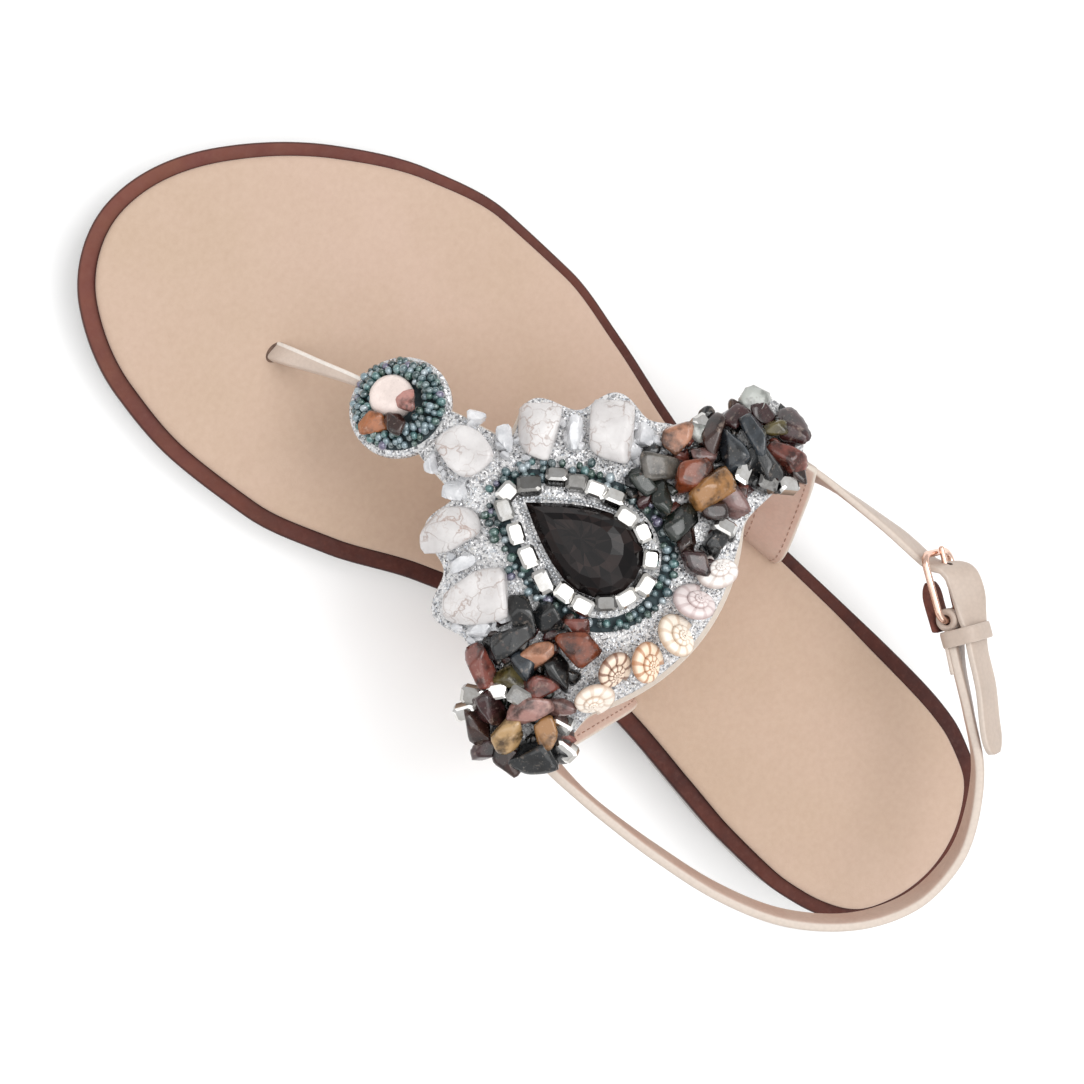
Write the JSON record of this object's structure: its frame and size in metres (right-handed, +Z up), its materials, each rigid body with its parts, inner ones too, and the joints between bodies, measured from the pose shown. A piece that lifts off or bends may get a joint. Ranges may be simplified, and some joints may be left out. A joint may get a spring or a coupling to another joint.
{
  "type": "toe post sandal",
  "caption": "Flat toe post sandal for the right foot: beaded instep shield with toe post and side straps on a thin sole with a low heel, and a buckled heel strap.",
  "frame": {"origin": "on the floor, below the centre of the sandal's bounding box", "axes": "+Z up from the floor, -Y from heel to toe along the sole's length, +X towards the inner side of the right foot"},
  "size_m": [0.1047, 0.2543, 0.0668],
  "materials": {
    "grey_sole": "satin",
    "brown_board": "satin",
    "tan_suede": "napped matt",
    "beige_leather": "satin with glitter cloth on the shield",
    "strap_leather": "satin",
    "rose_gold": "polished",
    "smoky_crystal": "polished facets",
    "mirror_silver": "mirror",
    "teal_bead": "pearly",
    "white_stone": "polished",
    "pink_stone": "polished",
    "clear_crystal": "polished",
    "shell_cream": "glossy",
    "dark_chip": "polished"
  },
  "bodies": {
    "root": {"outsole": "grey_sole", "midsole": "brown_board", "insole": "tan_suede", "upper": "beige_leather", "heel_strap": "strap_leather", "front_strap": "strap_leather", "keeper_loop": "strap_leather", "buckle_frame": "rose_gold", "buckle_prong": "rose_gold", "teardrop_crystal": "smoky_crystal", "mirror_ring": "mirror_silver", "seed_ring": "teal_bead", "medallion_beads": "teal_bead", "medallion_stone": "pink_stone", "white_nugget_01": "white_stone", "white_nugget_02": "white_stone", "white_nugget_03": "white_stone", "white_nugget_04": "white_stone", "white_nugget_05": "white_stone", "small_crystal_01": "clear_crystal", "small_crystal_02": "clear_crystal", "small_crystal_03": "clear_crystal", "small_crystal_04": "clear_crystal", "shell_1": "shell_cream", "shell_2": "shell_cream", "shell_3": "shell_cream", "shell_4": "shell_cream", "shell_5": "shell_cream", "shell_6": "shell_cream", "chip_01": "dark_chip", "chip_02": "dark_chip", "chip_03": "dark_chip", "chip_04": "dark_chip", "chip_05": "dark_chip", "chip_06": "dark_chip", "chip_07": "dark_chip", "chip_08": "dark_chip", "chip_09": "dark_chip", "chip_10": "dark_chip", "chip_11": "dark_chip", "chip_12": "dark_chip", "chip_13": "dark_chip", "chip_14": "dark_chip", "chip_15": "dark_chip", "chip_16": "dark_chip", "chip_17": "dark_chip", "chip_18": "dark_chip", "chip_19": "dark_chip", "chip_20": "dark_chip", "chip_21": "dark_chip", "chip_22": "dark_chip", "chip_23": "dark_chip", "chip_24": "dark_chip", "chip_25": "dark_chip", "chip_26": "dark_chip", "chip_27": "dark_chip"}
  },
  "joints": []
}
